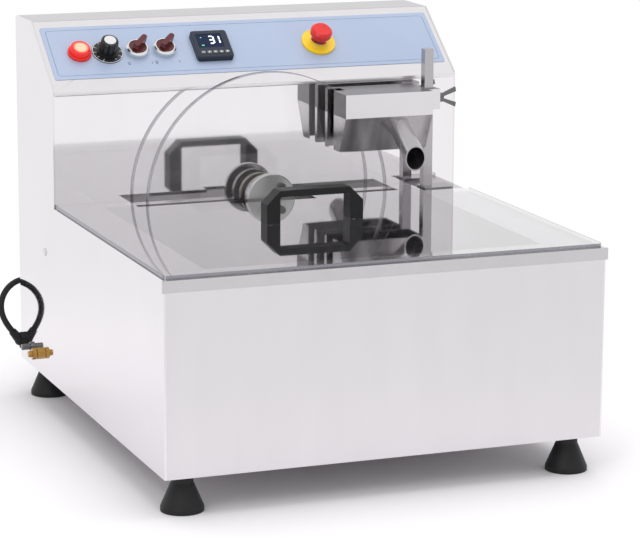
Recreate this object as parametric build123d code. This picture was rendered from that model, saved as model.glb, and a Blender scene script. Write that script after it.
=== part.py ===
from build123d import *
from math import cos, hypot, pi, radians, sin, tan
import os

# Chocolate tempering machine with a clear wheel, as an assembly of separate pieces.
# While it is drawn, X is 0 in the middle of the casing, Y is 0 on the column's front face
# and Z is 0 on the table. The front of the machine faces -Y. All sizes are millimetres.

os.makedirs("parts", exist_ok=True)

# Casing
body_width = 540.0
base_depth = 440.0
column_depth = 170.0
foot_height = 45.0
base_height = 227.5
top_height = 449.0
brow_fall = 74.0
brow_height = top_height - brow_fall
brow_setback = 97.0
sheet = 2.0
flange = 14.0
lip_height = 14.0
lip_proud = 2.0
brow_drop = 5.0
column_tuck = 45.0
brow_proud = 3.0
vent_count = 5
vent_length = 60.0
vent_width = 5.0
vent_pitch = 14.0
vent_drop = 120.0

# Feet
foot_inset = 30.0
foot_base_radius = 25.0
foot_neck_radius = 13.0
foot_neck_height = 14.0
foot_rim = 5.0

# Tank
deck_side = 62.0
tank_half_width = body_width / 2 - deck_side
tank_front = 395.0
tank_back = 9.0
tank_depth = 176.0
tank_floor_half_width = 104.0
tank_floor_front = 150.0
tank_wall = 1.5
tank_rim = 10.0
heater_thickness = 3.0
heater_margin = 14.0
probe_radius = 4.0
probe_length = 20.0

# Lid and its handle
lid_thickness = 4.0
lid_inset = 4.0
lid_corner = 6.0
slot_half_length = 174.0
slot_front = 42.0
hub_notch_half = 56.0
hub_notch_front = 60.0
handle_width = 124.0
handle_height = 40.0
handle_depth = 22.0
handle_leg = 17.0
handle_bar = 8.0
handle_chamfer = 17.0
handle_back = 178.0
handle_screw_radius = 3.0

# Wheel, hub and drive
wheel_radius = 160.0
wheel_thickness = 10.0
wheel_back = 28.0
axle_above_deck = 4.0
shaft_radius = 9.0
hub_radius = 32.0
hub_thickness = 8.0
hub_back_radius = 27.0
hub_screw_circle = 20.0
hub_screw_radius = 3.0
hub_screw_head = 5.0
hub_screw_angle = 49.0
bearing_radius = 19.0
bearing_flange_radius = 26.0
bearing_flange = 4.0
bearing_length = 12.0
gearbox_width = 76.0
gearbox_length = 52.0
gearbox_start = 26.0
motor_radius = 31.0
motor_length = 74.0
bracket_width = 120.0
bracket_plate = 3.0
running_gap = 0.06
rest_gap = 0.3
far = 400.0
wheel_room = 6.0

# Scraper
post_side = 12.0
post_x = 216.0
post_back = 34.0
post_length = 184.0
post_base_length = 40.0
post_base_width = 30.0
post_base_height = 6.0
hood_left = 84.0
hood_right = 202.0
hood_front = 86.0
hood_back = 14.0
hood_above_deck = 137.0
hood_height = 30.0
hopper_height = 45.0
hopper_front_taper = 18.0
hopper_corner_width = 21.0
hopper_corner_depth = 4.0
hood_wall = 1.5
clamp_height = 26.0
clamp_wall = 7.0
blade_thickness = 1.6
blade_foot = 9.0
blade_tip = 46.0
spout_x = 160.0
spout_end = 130.5
spout_end_above_deck = 60.5
spout_slope = 31.6
spout_radius = 13.5
spout_wall = 1.5
spout_inside = 74.4
wing_stem_radius = 3.0
wing_reach = 26.0
wing_span = 11.0
wing_thickness = 3.0
wing_collar = 8.0

# Control panel
control_row = 62.0
overlay_margin = 8.0
overlay_low = 18.0
overlay_high = 109.5
overlay_thickness = 0.6
start_inset = 49.0
start_to_dial = 36.5
dial_to_selector = 38.5
selector_pitch = 36.0
selector_to_display = 62.5
display_to_stop = 145.5
start_x = start_inset - body_width / 2
dial_x = start_x + start_to_dial
selector_x = (dial_x + dial_to_selector, dial_x + dial_to_selector + selector_pitch)
display_x = selector_x[1] + selector_to_display
stop_x = display_x + display_to_stop
control_hole_radius = 8.0
start_ring_radius = 15.0
start_ring_height = 4.0
start_cap_radius = 12.5
start_cap_height = 12.0
start_travel = 3.0
start_seat = 0.8
barrel_length = 14.0
dial_radius = 20.0
dial_thickness = 1.0
knob_skirt_radius = 14.0
knob_radius = 11.0
knob_cap_radius = 7.5
knob_height = 21.0
knob_flutes = 10
flute_width = 2.0
selector_ring_radius = 14.5
selector_ring_height = 8.0
selector_bore_radius = 11.5
selector_reach = 17.0
selector_tail = 8.0
selector_lever_width = 7.0
selector_lever_height = 16.0
selector_rest_angle = -45.0
display_side = 48.0
display_height = 8.0
display_depth = 46.0
display_window_width = 34.0
display_window_height = 24.0
key_count = 5
key_pitch = 8.0
key_width = 5.6
key_height = 4.2
key_proud = 1.2
key_sunk = 1.8
key_pocket = 3.0
stop_plate_radius = 22.0
stop_plate_height = 3.0
stop_collar_radius = 11.0
stop_collar_height = 9.0
stop_head_radius = 14.0
stop_head_height = 13.0
stop_travel = 4.0
stem_radius = 4.0
stem_length = 12.0
stem_grip = 4.0

# Rear left corner: mains lead and earth terminal
gland_y = 158.0
gland_above_base = 25.0
gland_radius = 11.0
gland_nut = 5.0
gland_ball = 7.0
gland_tube = 16.0
gland_lean = (-0.60, 0.14, 0.79)
cord_first_run = 18.0
cord_radius = 4.0
coil_turn_radius = 44.0
coil_layers = 2
coil_round = 2.5
coil_x = -54.0
coil_y = 242.0
plug_radius = 17.0
plug_length = 34.0
plug_offset = 37.7
plug_round = 5.0
pin_radius = 2.4
pin_length = 19.0
pin_pitch = 19.0
steel_stud_y = 116.0
earth_stud_y = 76.0
stud_above_base = 26.0
stud_radius = 4.0
steel_stud_reach = 14.0
earth_stud_reach = 16.0
stud_inside = 6.0
nut_radius = 7.5
nut_height = 5.0
side_screw_y = 47.0
side_screw_above_base = 164.0
side_screw_radius = 5.0

# Places worked out from the sizes above
half = body_width / 2
inner = half - sheet
floor_z = foot_height
deck = foot_height + base_height
brow = foot_height + brow_height
top = foot_height + top_height
axle = deck + axle_above_deck
wheel_front = wheel_back + wheel_thickness
hub_front = wheel_front + hub_thickness
lid_top = deck + rest_gap + lid_thickness
slope_run = hypot(brow_setback, top_height - brow_height)
slope_up = (0, brow_setback / slope_run, (top - brow) / slope_run)
slope_out = (0, -(top - brow) / slope_run, brow_setback / slope_run)

# The finished part is moved so that its origin is under the middle of its box.
left_reach = half + earth_stud_reach
right_reach = half + lip_proud
front_reach = base_depth + lip_proud
middle = Vector((right_reach - left_reach) / 2, (column_depth - front_reach) / 2, 0)

parts = {}
from_below = (Align.CENTER, Align.CENTER, Align.MIN)


def keep(name, shape):
    """Files one piece of the machine under its name."""
    parts[name] = shape
    return shape


def block(x0, x1, y0, y1, z0, z1):
    """A box between two corners."""
    size = (x1 - x0, y1 - y0, z1 - z0)
    return Pos((x0 + x1) / 2, (y0 + y1) / 2, (z0 + z1) / 2) * Box(*size)


def rod(start, direction, radius, length):
    """A round bar that starts at a point and runs along a direction."""
    return extrude(Plane(start, z_dir=direction) * Circle(radius), length)


def side_profile(points, x0, x1):
    """A profile drawn in Y and Z, as thick as from x0 to x1."""
    face = make_face(Plane.YZ * Polyline(*points, close=True))
    return Pos(x0, 0, 0) * extrude(face, x1 - x0, dir=(1, 0, 0))


def on_slope(x, along, lift=0.0):
    """A plane on the control panel's face, with its own Z pointing out of the panel."""
    origin = Vector(x, 0, brow) + Vector(*slope_up) * along + Vector(*slope_out) * lift
    return Plane(origin, x_dir=(1, 0, 0), z_dir=slope_out)


def knob_body(plane, radii_heights):
    """A turned body on a plane, from its radius at each height."""
    points = [(0, radii_heights[0][1])] + list(radii_heights) + [(0, radii_heights[-1][1])]
    face = make_face(Plane.XZ * Polyline(*points, close=True))
    return plane.location * revolve(face, Axis.Z)


# Side panels, each one sheet that runs from the base up to the column's top
side_outline = [
    (-base_depth, floor_z),
    (column_depth, floor_z),
    (column_depth, top),
    (brow_setback, top),
    (0, brow),
    (0, deck),
    (-base_depth, deck),
]
left_side = side_profile(side_outline, -half, -inner)
right_side = side_profile(side_outline, inner, half)
flange_run = (-base_depth + sheet, column_depth - sheet, floor_z + sheet, floor_z + 2 * sheet)
left_side += block(-inner, -inner + flange, *flange_run)
right_side += block(inner - flange, inner, *flange_run)
gland_z = floor_z + gland_above_base
stud_z = floor_z + stud_above_base
side_screw_z = floor_z + side_screw_above_base
for y, z, radius in (
    (gland_y, gland_z, cord_radius),
    (steel_stud_y, stud_z, stud_radius),
    (earth_stud_y, stud_z, stud_radius),
    (side_screw_y, side_screw_z, hub_screw_radius),
):
    left_side -= rod((-half - 1, y, z), (1, 0, 0), radius, sheet + 2)
keep("side_panel_left", left_side)
keep("side_panel_right", right_side)

# Front, bottom, rear and top sheets stand between the side panels
keep("front_panel", block(-inner, inner, -base_depth, -base_depth + sheet, floor_z, deck - sheet))
bottom_y = (-base_depth + sheet, column_depth - sheet)
keep("bottom_plate", block(-inner, inner, *bottom_y, floor_z, floor_z + sheet))
rear = block(-inner, inner, column_depth - sheet, column_depth, floor_z, top - sheet)
for row in range(vent_count):
    z = top - vent_drop - row * vent_pitch
    for x in (-inner / 2, inner / 2):
        slot_plane = Plane((x, column_depth, z), x_dir=(1, 0, 0), z_dir=(0, 1, 0))
        rear -= extrude(slot_plane * SlotOverall(vent_length, vent_width), sheet + 1, both=True)
keep("rear_panel", rear)
keep("top_cover", block(-inner, inner, brow_setback, column_depth, top - sheet, top))

# Column front, a polished sheet with the hole of the shaft's bearing
column = block(-inner, inner, 0, sheet, deck - column_tuck, brow - brow_drop)
column -= rod((0, -1, axle), (0, 1, 0), bearing_radius, sheet + 2)
keep("column_front", column)

# Control panel, a sloped sheet with a nose that is folded over the column front
inside_y = sheet * slope_run / (top - brow)
panel_outline = [
    (brow_setback, top),
    (-brow_proud, brow - brow_proud * (top - brow) / brow_setback),
    (-brow_proud, brow - brow_drop - sheet),
    (0, brow - brow_drop - sheet),
    (0, brow - brow_drop),
    (inside_y, brow - brow_drop),
    (inside_y, brow),
    (brow_setback, top - sheet * slope_run / brow_setback),
]
panel = side_profile(panel_outline, -inner, inner)
overlay_width = body_width - 2 * overlay_margin
overlay_length = overlay_high - overlay_low
overlay_mid = (overlay_high + overlay_low) / 2
overlay_plane = on_slope(0, overlay_mid)
overlay = extrude(overlay_plane * RectangleRounded(overlay_width, overlay_length, 3), overlay_thickness)
holes = [(start_x, control_hole_radius), (dial_x, stem_radius + 1), (stop_x, control_hole_radius)]
holes += [(x, control_hole_radius) for x in selector_x]
for x, radius in holes:
    cutter = extrude(on_slope(x, control_row, -2 * sheet) * Circle(radius), 4 * sheet)
    panel -= cutter
    overlay -= cutter
display_square = Rectangle(display_side - 4, display_side - 4)
display_hole = extrude(on_slope(display_x, control_row, -2 * sheet) * display_square, 4 * sheet)
panel -= display_hole
overlay -= display_hole
keep("control_panel", panel)
keep("panel_overlay", overlay)
face_lift = overlay_thickness

# Feet, four turned cones
foot_points = [
    (foot_base_radius, 0),
    (foot_base_radius, foot_rim),
    (foot_neck_radius + 1, foot_height - foot_neck_height),
    (foot_neck_radius, foot_height - foot_neck_height + 2),
    (foot_neck_radius, foot_height),
]
feet = []
for x in (-half + foot_inset, half - foot_inset):
    for y in (-base_depth + foot_inset, column_depth - foot_inset):
        feet.append(knob_body(Plane((x, y, 0)), foot_points))
keep("feet", Compound(feet))

# Deck, the sheet around the tank, folded down over the front panel
deck_sheet = block(-inner, inner, -base_depth, 0, deck - sheet, deck)
lip_y = (-base_depth - lip_proud, -base_depth)
deck_sheet += block(-half - lip_proud, half + lip_proud, *lip_y, deck - lip_height, deck)
deck_sheet -= block(-tank_half_width, tank_half_width, -tank_front, -tank_back, deck - sheet - 1, deck + 1)
shaft_notch = rod((0, -tank_back - 10, axle), (0, 1, 0), bearing_flange_radius + 1, tank_back + 10)
deck_sheet -= shaft_notch


# Tank, a trough whose front and ends lean in towards the wheel
def tank_body(grow, drop):
    """The trough's outline at the deck and at its floor, lofted, larger all round by grow."""
    mid_y = -(tank_front + tank_back) / 2
    floor_mid_y = -(tank_floor_front + tank_back) / 2
    rim = Plane((0, mid_y, deck - sheet)) * Rectangle(
        2 * (tank_half_width + grow), tank_front - tank_back + 2 * grow
    )
    bottom = Plane((0, floor_mid_y, deck - sheet - tank_depth - drop)) * Rectangle(
        2 * (tank_floor_half_width + grow), tank_floor_front - tank_back + 2 * grow
    )
    return loft([rim, bottom])


tank = tank_body(tank_wall, tank_wall)
tank_rim_box = block(
    -tank_half_width - tank_rim, tank_half_width + tank_rim,
    -tank_front - tank_rim, -1,
    deck - 2 * sheet, deck - sheet,
)
tank += tank_rim_box
tank -= tank_body(0, 0)
tank -= shaft_notch
keep("tank", tank)
keep("deck", deck_sheet)

tank_bottom = deck - sheet - tank_depth - tank_wall
heater = block(
    -tank_floor_half_width + heater_margin, tank_floor_half_width - heater_margin,
    -tank_floor_front + heater_margin, -tank_back - heater_margin,
    tank_bottom - heater_thickness, tank_bottom,
)
probe_y = -(tank_floor_front + tank_back) / 2
heater -= Pos(0, probe_y, tank_bottom) * Cylinder(probe_radius + 2, 3 * heater_thickness)
keep("heater_mat", heater)
keep("tank_probe", rod((0, probe_y, tank_bottom), (0, 0, -1), probe_radius, probe_length))

# Lid, a clear sheet that is open at the back for the wheel, its hub and the scraper's post
lid_half = half - lid_inset / 2
lid_front = base_depth - lid_inset
lid_low = deck + rest_gap
lid_face = Pos(0, -lid_front / 2, lid_low) * RectangleRounded(2 * lid_half, lid_front, lid_corner)
lid = extrude(lid_face, lid_thickness, dir=(0, 0, 1))
post_notch_left = post_x - post_side / 2 - 6
post_notch_front = post_back + post_base_width / 2 + 6
lid -= block(-slot_half_length, slot_half_length, -slot_front, 1, deck - 1, lid_top + 1)
lid -= block(-hub_notch_half, hub_notch_half, -hub_notch_front, 1, deck - 1, lid_top + 1)
lid -= block(post_notch_left, half, -post_notch_front, 1, deck - 1, lid_top + 1)
lid = Pos(0, -rest_gap, 0) * lid
handle_y = -handle_back - handle_depth / 2
screw_xs = (-(handle_width - handle_leg) / 2, (handle_width - handle_leg) / 2)
for x in screw_xs:
    lid -= Pos(x, handle_y, lid_top) * Cylinder(handle_screw_radius, 4 * lid_thickness)
keep("lid", lid)

# Lid handle, a bridge with broad legs and cut corners
half_handle = handle_width / 2
outer = [
    (-half_handle, 0),
    (-half_handle, handle_height - handle_chamfer),
    (-half_handle + handle_chamfer, handle_height),
    (half_handle - handle_chamfer, handle_height),
    (half_handle, handle_height - handle_chamfer),
    (half_handle, 0),
]
gap_half = half_handle - handle_leg
gap_top = handle_height - handle_bar
inner_points = [(gap_half, 0), (gap_half, gap_top), (-gap_half, gap_top), (-gap_half, 0)]
handle_face = make_face(Plane.XZ * Polyline(*outer, *inner_points, close=True))
handle = Pos(0, -handle_back, lid_top) * extrude(handle_face, handle_depth, dir=(0, -1, 0))
long_edges = handle.edges().filter_by(Axis.Y).filter_by(lambda e: e.center().Z > lid_top + 1)
handle = fillet(long_edges, 2)
screw_depth = 12.0
for x in screw_xs:
    handle -= Pos(x, handle_y, lid_top) * Cylinder(handle_screw_radius, 2 * screw_depth)
keep("lid_handle", handle)
screw_list = []
screw_length = screw_depth - 1 + lid_thickness
for x in screw_xs:
    screw_top = (x, handle_y, lid_top + screw_depth - 1)
    screw_list.append(rod(screw_top, (0, 0, -1), handle_screw_radius - 0.1, screw_length))
keep("handle_screws", Compound(screw_list))

# Wheel, its clamping discs and the shaft that turns them
wheel = rod((0, -wheel_back, axle), (0, -1, 0), wheel_radius, wheel_thickness)
rim_edges = wheel.edges().filter_by(GeomType.CIRCLE)
wheel = chamfer(rim_edges, 0.8)
wheel -= rod((0, 0, axle), (0, -1, 0), shaft_radius + 0.1, 2 * wheel_front)
hub_disc = rod((0, -wheel_front, axle), (0, -1, 0), hub_radius, hub_thickness)
hub_disc = chamfer(hub_disc.faces().sort_by(Axis.Y)[0].edges(), 1.2)
hub_back = rod((0, -wheel_back, axle), (0, 1, 0), hub_back_radius, hub_thickness)
hub_screw_list = []
bolt_length = wheel_thickness + 2 * hub_thickness
for turn in (0, 180):
    angle = radians(hub_screw_angle + turn)
    x = hub_screw_circle * cos(angle)
    z = axle + hub_screw_circle * sin(angle)
    bolt_start = (x, 1 - wheel_back + hub_thickness, z)
    bolt_hole = rod(bolt_start, (0, -1, 0), hub_screw_radius + 0.2, bolt_length + 2)
    wheel -= bolt_hole
    hub_disc -= bolt_hole
    hub_back -= bolt_hole
    head = rod((x, -hub_front, z), (0, -1, 0), hub_screw_head, 4)
    head -= extrude(Plane((x, -hub_front - 4, z), z_dir=(0, 1, 0)) * RegularPolygon(2.5, 6), 2.5)
    hub_screw_list.append(head + rod((x, -hub_front, z), (0, 1, 0), hub_screw_radius, bolt_length - 1))
keep("wheel", wheel)
keep("hub_front_disc", hub_disc)
keep("hub_screws", Compound(hub_screw_list))
gearbox_end = gearbox_start + gearbox_length
shaft_end = gearbox_end - 12
shaft = rod((0, -wheel_front, axle), (0, 1, 0), shaft_radius, wheel_front + shaft_end)
keep("wheel_shaft", shaft + hub_back)

# Bearing in the column front, and the gear motor behind it
bearing_hole = rod((0, -far, axle), (0, 1, 0), shaft_radius + running_gap, 2 * far)
bearing = rod((0, 0, axle), (0, -1, 0), bearing_flange_radius, bearing_flange)
bearing += rod((0, 0, axle), (0, 1, 0), bearing_radius, bearing_length)
keep("shaft_bearing", bearing - bearing_hole)
gear_half = gearbox_width / 2
gearbox = block(-gear_half, gear_half, gearbox_start, gearbox_end, axle - gear_half, axle + gear_half)
gearbox = chamfer(gearbox.edges().filter_by(Axis.Y), 8)
output_length = shaft_end - gearbox_start + 2
gearbox -= rod((0, gearbox_start - 1, axle), (0, 1, 0), shaft_radius + running_gap, output_length)
motor = rod((0, gearbox_end, axle), (0, 1, 0), motor_radius, motor_length)
motor = chamfer(motor.faces().sort_by(Axis.Y)[-1].edges(), 4)
keep("gear_motor", gearbox + motor)
bracket_half = bracket_width / 2
bracket_z = (axle - gear_half, axle + gear_half)
bracket = block(-bracket_half, bracket_half, gearbox_start - bracket_plate, gearbox_start, *bracket_z)
for x in (-bracket_half, bracket_half - bracket_plate):
    bracket += block(x, x + bracket_plate, sheet, gearbox_start, *bracket_z)
bracket -= rod((0, 0, axle), (0, 1, 0), bearing_radius + 2, gearbox_start + 1)
keep("motor_bracket", bracket)

# Scraper post, a square bar on a foot that is screwed to the deck
post_half = post_side / 2
post_y = (-post_back - post_half, -post_back + post_half)
post = block(post_x - post_half, post_x + post_half, *post_y, deck, deck + post_length)
post = chamfer(post.faces().sort_by(Axis.Z)[-1].edges(), 0.8)
post_base_left = post_x - post_half - 1
post_base = block(
    post_base_left, post_base_left + post_base_length,
    -post_back - post_base_width / 2, -post_back + post_base_width / 2,
    deck, deck + post_base_height,
)
post_base = fillet(post_base.edges().filter_by(Axis.Z), 3)
keep("scraper_post", post + post_base)

# Scraper hood, a folded box that is open below and round the wheel
hood_top = deck + hood_above_deck
hood_low = hood_top - hood_height
clear_start = (0, -wheel_back + wheel_room, axle)
clear_width = wheel_thickness + 2 * wheel_room
wheel_clear = rod(clear_start, (0, -1, 0), wheel_radius + wheel_room, clear_width)
hood = block(hood_left, hood_right, -hood_front, -hood_back, hood_low, hood_top)
hood -= block(
    hood_left + hood_wall, hood_right - hood_wall,
    -hood_front + hood_wall, -hood_back - hood_wall,
    hood_low - 1, hood_top - hood_wall,
)
hood -= wheel_clear


# Hopper, a funnel under the hood whose front leans back and whose front corners are folded in
def hopper_body(shrink):
    """The funnel from the hood's lower edge down to its mouth, smaller all round by shrink."""
    low = hood_low - hopper_height
    low_front = -hood_front + hopper_front_taper
    outline = [
        (-hood_front + shrink, hood_low),
        (-hood_back - shrink, hood_low),
        (-hood_back - shrink, low),
        (low_front + shrink, low),
    ]
    body = side_profile(outline, hood_left + shrink, hood_right - shrink)
    for wall, inward in ((hood_left, 1), (hood_right, -1)):
        corner_top = Vector(wall, -hood_front, hood_low)
        corner_side = Vector(wall, low_front + hopper_corner_depth, low)
        corner_front = Vector(wall + inward * hopper_corner_width, low_front, low)
        outward = (corner_side - corner_top).cross(corner_front - corner_top) * inward
        if outward.Y > 0:
            outward = outward * -1
        fold = Plane(corner_top - outward.normalized() * shrink, z_dir=outward)
        body = split(body, bisect_by=fold, keep=Keep.BOTTOM)
    return body


hopper = hopper_body(0) - hopper_body(hood_wall)
spout_angle = radians(spout_slope)
spout_dir = Vector(0, -cos(spout_angle), -sin(spout_angle))
spout_tip = Vector(spout_x, -spout_end, deck + spout_end_above_deck)
spout_length = (spout_end - spout_inside) / cos(spout_angle)
spout_start = spout_tip - spout_dir * spout_length
spout_past = spout_radius * 2
spout_solid = rod(spout_start, spout_dir, spout_radius, spout_length + spout_past)
hopper = hopper - wheel_clear - spout_solid
keep("scraper_hopper", hopper)
keep("scraper_hood", hood)
spout_bore = rod(spout_start - spout_dir, spout_dir, spout_radius - spout_wall, spout_length + spout_past + 2)
spout = spout_solid - spout_bore
spout_x0 = spout_x - 2 * spout_radius
spout_x1 = spout_x + 2 * spout_radius
spout -= block(spout_x0, spout_x1, -spout_end - spout_length, -spout_end, deck - far, deck + far)
keep("spout_tube", spout)

# Two leaning blades that wipe the wheel's faces
def blade(wall_y, wheel_y):
    """A leaf from the hood's right wall to the wheel's face, with a foot on that wall."""
    step = blade_thickness if wheel_y > wall_y else -blade_thickness
    right = hood_right - hood_wall
    tip_x = hood_left + blade_tip
    face = make_face(Polyline(
        (right, wall_y),
        (right, wall_y + blade_foot * step / blade_thickness),
        (right - blade_thickness, wall_y + blade_foot * step / blade_thickness),
        (right - blade_thickness, wall_y + 2 * step),
        (tip_x, wheel_y),
        (tip_x - 3, wheel_y),
        (right - 3 * blade_thickness, wall_y),
        close=True,
    ))
    return Pos(0, 0, hood_low) * extrude(face, hood_height - hood_wall, dir=(0, 0, 1))


keep("front_blade", blade(-hood_front + hood_wall, -wheel_front - rest_gap))
keep("back_blade", blade(-hood_back - hood_wall, -wheel_back + rest_gap))

# Clamp on the post, welded to the hood's right wall, and its wing screw
clamp_right = post_x + post_half + clamp_wall
clamp_y = (-post_back - post_half - clamp_wall, -post_back + post_half + clamp_wall)
clamp = block(hood_right, clamp_right, *clamp_y, hood_low, hood_low + clamp_height)
clear_half = post_half + rest_gap
clamp -= block(
    post_x - clear_half, post_x + clear_half,
    -post_back - clear_half, -post_back + clear_half,
    deck, top,
)
wing_z = hood_low + clamp_height / 2
screw_hole = rod((post_x, -post_back, wing_z), (1, 0, 0), wing_stem_radius + 0.1, far)
clamp -= screw_hole
keep("scraper_clamp", clamp)
wing_start = post_x + clear_half
wing_root = clamp_right + wing_collar / 2
wing = rod((wing_start, -post_back, wing_z), (1, 0, 0), wing_stem_radius, wing_root - wing_start)
wing += rod((clamp_right + rest_gap, -post_back, wing_z), (1, 0, 0), 2 * wing_stem_radius, wing_collar)
for side in (-1, 1):
    ear_points = [
        (clamp_right + 4, side * 1.0),
        (clamp_right + 8, side * 5.0),
        (clamp_right + wing_reach, side * (wing_span + 2)),
        (clamp_right + wing_reach + 1, side * (wing_span - 4)),
        (clamp_right + 9, side * 1.0),
    ]
    ear = make_face(Plane.XZ * Polyline(*ear_points, close=True))
    wing += Pos(0, -post_back, wing_z) * extrude(ear, wing_thickness / 2, both=True)
keep("wing_screw", wing)

# Start button: a ring and a lit cap that pushes in
ring_plane = on_slope(start_x, control_row, face_lift)
stem_hole = Circle(stem_radius + rest_gap)
ring = knob_body(ring_plane, [
    (start_ring_radius, 0),
    (start_ring_radius, start_ring_height - 1),
    (start_ring_radius - 1, start_ring_height),
])
ring -= extrude(ring_plane * Circle(start_cap_radius + rest_gap), start_ring_height + 1)
ring += extrude(ring_plane * (Circle(start_ring_radius - 0.5) - stem_hole), start_seat)
barrel_plane = on_slope(start_x, control_row, face_lift - barrel_length)
ring += extrude(barrel_plane * (Circle(control_hole_radius - rest_gap) - stem_hole), barrel_length)
keep("start_ring", ring)
cap_low = start_seat + start_travel + rest_gap
cap = knob_body(ring_plane, [
    (start_cap_radius, cap_low),
    (start_cap_radius, start_cap_height - 2),
    (start_cap_radius - 2, start_cap_height),
])
stem_plane = on_slope(start_x, control_row, face_lift - stem_length)
cap += extrude(stem_plane * Circle(stem_radius), stem_length + cap_low + 1)
keep("start_cap", cap)

# Speed dial and its fluted knob
dial_plane = on_slope(dial_x, control_row, face_lift)
dial = extrude(dial_plane * (Circle(dial_radius) - Circle(stem_radius + 1)), dial_thickness)
keep("speed_dial", dial)
knob_low = dial_thickness + rest_gap
knob = knob_body(dial_plane, [
    (knob_skirt_radius, knob_low),
    (knob_skirt_radius, knob_low + 3),
    (knob_radius, knob_low + 3),
    (knob_radius, knob_height - 1),
    (knob_radius - 1, knob_height),
])
for step in range(knob_flutes):
    angle = 2 * pi * step / knob_flutes
    flute_at = Pos(knob_radius * cos(angle), knob_radius * sin(angle), knob_low + 4)
    flute = Box(flute_width, flute_width, knob_height, align=from_below)
    flute = Rot(0, 0, 360 * step / knob_flutes + 45) * flute
    knob -= dial_plane.location * flute_at * flute
stem_plane = on_slope(dial_x, control_row, face_lift - stem_length)
knob += extrude(stem_plane * Circle(stem_radius - 0.5), stem_length + knob_low + 1)
keep("speed_knob", knob)
knob_cap = extrude(on_slope(dial_x, control_row, face_lift + knob_height) * Circle(knob_cap_radius), 0.8)
keep("speed_knob_cap", knob_cap)

# Two selector switches, each a ring and a lever that turns
for index, x in enumerate(selector_x):
    number = str(index + 1)
    plane = on_slope(x, control_row, face_lift)
    ring = knob_body(plane, [
        (selector_ring_radius, 0),
        (selector_ring_radius, selector_ring_height - 2),
        (selector_ring_radius - 1.5, selector_ring_height),
    ])
    bore_plane = on_slope(x, control_row, face_lift + 2)
    ring -= extrude(bore_plane * Circle(selector_bore_radius), selector_ring_height)
    ring -= extrude(plane * stem_hole, 4)
    keep("selector_ring_" + number, ring)
    lever_plane = on_slope(x, control_row, face_lift + 2 + rest_gap)
    lever = extrude(lever_plane * Circle(selector_bore_radius - rest_gap), selector_ring_height - 3)
    turned = Rot(0, 0, selector_rest_angle)
    grip = turned * Pos(0, (selector_reach - selector_tail) / 2) * SlotOverall(
        selector_reach + selector_tail, selector_lever_width, rotation=90
    )
    grip_plane = on_slope(x, control_row, face_lift + selector_ring_height + rest_gap)
    neck = turned * Rectangle(selector_lever_width, 2 * selector_tail)
    lever += extrude(lever_plane * neck, selector_lever_height - 4)
    lever += extrude(grip_plane * grip, selector_lever_height - selector_ring_height)
    stem_plane = on_slope(x, control_row, face_lift - stem_length)
    lever += extrude(stem_plane * Circle(stem_radius), stem_length + 3)
    keep("selector_lever_" + number, lever)

# Temperature display: case, window and a row of keys
display_plane = on_slope(display_x, control_row, face_lift)
case = extrude(display_plane * RectangleRounded(display_side, display_side, 4), display_height)
front_edges = case.faces().sort_by(SortBy.AREA)[-2:].sort_by(Axis.Z)[-1].edges()
case = chamfer(front_edges, 1.2)
case_back = on_slope(display_x, control_row, face_lift - display_depth)
case += extrude(case_back * Rectangle(display_side - 5, display_side - 5), display_depth)
window_x = display_x - 2.0
window_row = control_row + 5.0
window_plane = on_slope(window_x, window_row, face_lift + display_height - 1.5)
window_shape = RectangleRounded(display_window_width, display_window_height, 1.5)
case -= extrude(window_plane * window_shape, 3)
key_row = control_row - display_side / 2 + 8.0
for number in range(key_count):
    x = display_x + (number - (key_count - 1) / 2) * key_pitch
    pocket_plane = on_slope(x, key_row, face_lift + display_height - key_pocket)
    pocket = RectangleRounded(key_width + 2 * rest_gap, key_height + 2 * rest_gap, 1.2)
    case -= extrude(pocket_plane * pocket, key_pocket + 1)
    key_plane = on_slope(x, key_row, face_lift + display_height - key_sunk)
    key = extrude(key_plane * RectangleRounded(key_width, key_height, 1), key_sunk + key_proud)
    keep("display_key_" + str(number + 1), key)
keep("display_case", case)
keep("display_window", extrude(window_plane * window_shape, 1.0))

# Emergency stop: yellow plate, collar, a stem that pushes in and a head that twists on it
stop_plane = on_slope(stop_x, control_row, face_lift)
plate = extrude(stop_plane * (Circle(stop_plate_radius) - Circle(control_hole_radius)), stop_plate_height)
plate = chamfer(plate.edges().filter_by(GeomType.CIRCLE).sort_by(Axis.Z)[-1:], 0.8)
keep("stop_plate", plate)
collar_plane = on_slope(stop_x, control_row, face_lift + stop_plate_height)
collar_length = stop_collar_height - stop_travel - 1
collar = extrude(collar_plane * (Circle(stop_collar_radius) - stem_hole), collar_length)
barrel_plane = on_slope(stop_x, control_row, face_lift - barrel_length)
barrel = Circle(control_hole_radius - rest_gap) - stem_hole
collar += extrude(barrel_plane * barrel, barrel_length + stop_plate_height)
keep("stop_collar", collar)
head_low = stop_plate_height + stop_collar_height
stem_plane = on_slope(stop_x, control_row, face_lift - stem_length)
stem = extrude(stem_plane * Circle(stem_radius), stem_length + head_low + stem_grip)
keep("stop_stem", stem)
head = knob_body(stop_plane, [
    (stop_head_radius - 3, head_low),
    (stop_head_radius, head_low + 4),
    (stop_head_radius, head_low + stop_head_height - 3),
    (stop_head_radius - 3, head_low + stop_head_height),
])
socket_plane = on_slope(stop_x, control_row, face_lift + head_low)
head -= extrude(socket_plane * Circle(stem_radius + running_gap), stem_grip + rest_gap)
keep("stop_head", head)

# Earth terminal, steel stud and side screw on the left panel
def nut(x, y, z, radius, height):
    """A six-sided nut that stands out of the left panel from x."""
    return extrude(Plane((x, y, z), z_dir=(-1, 0, 0)) * RegularPolygon(radius, 6), height)


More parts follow.
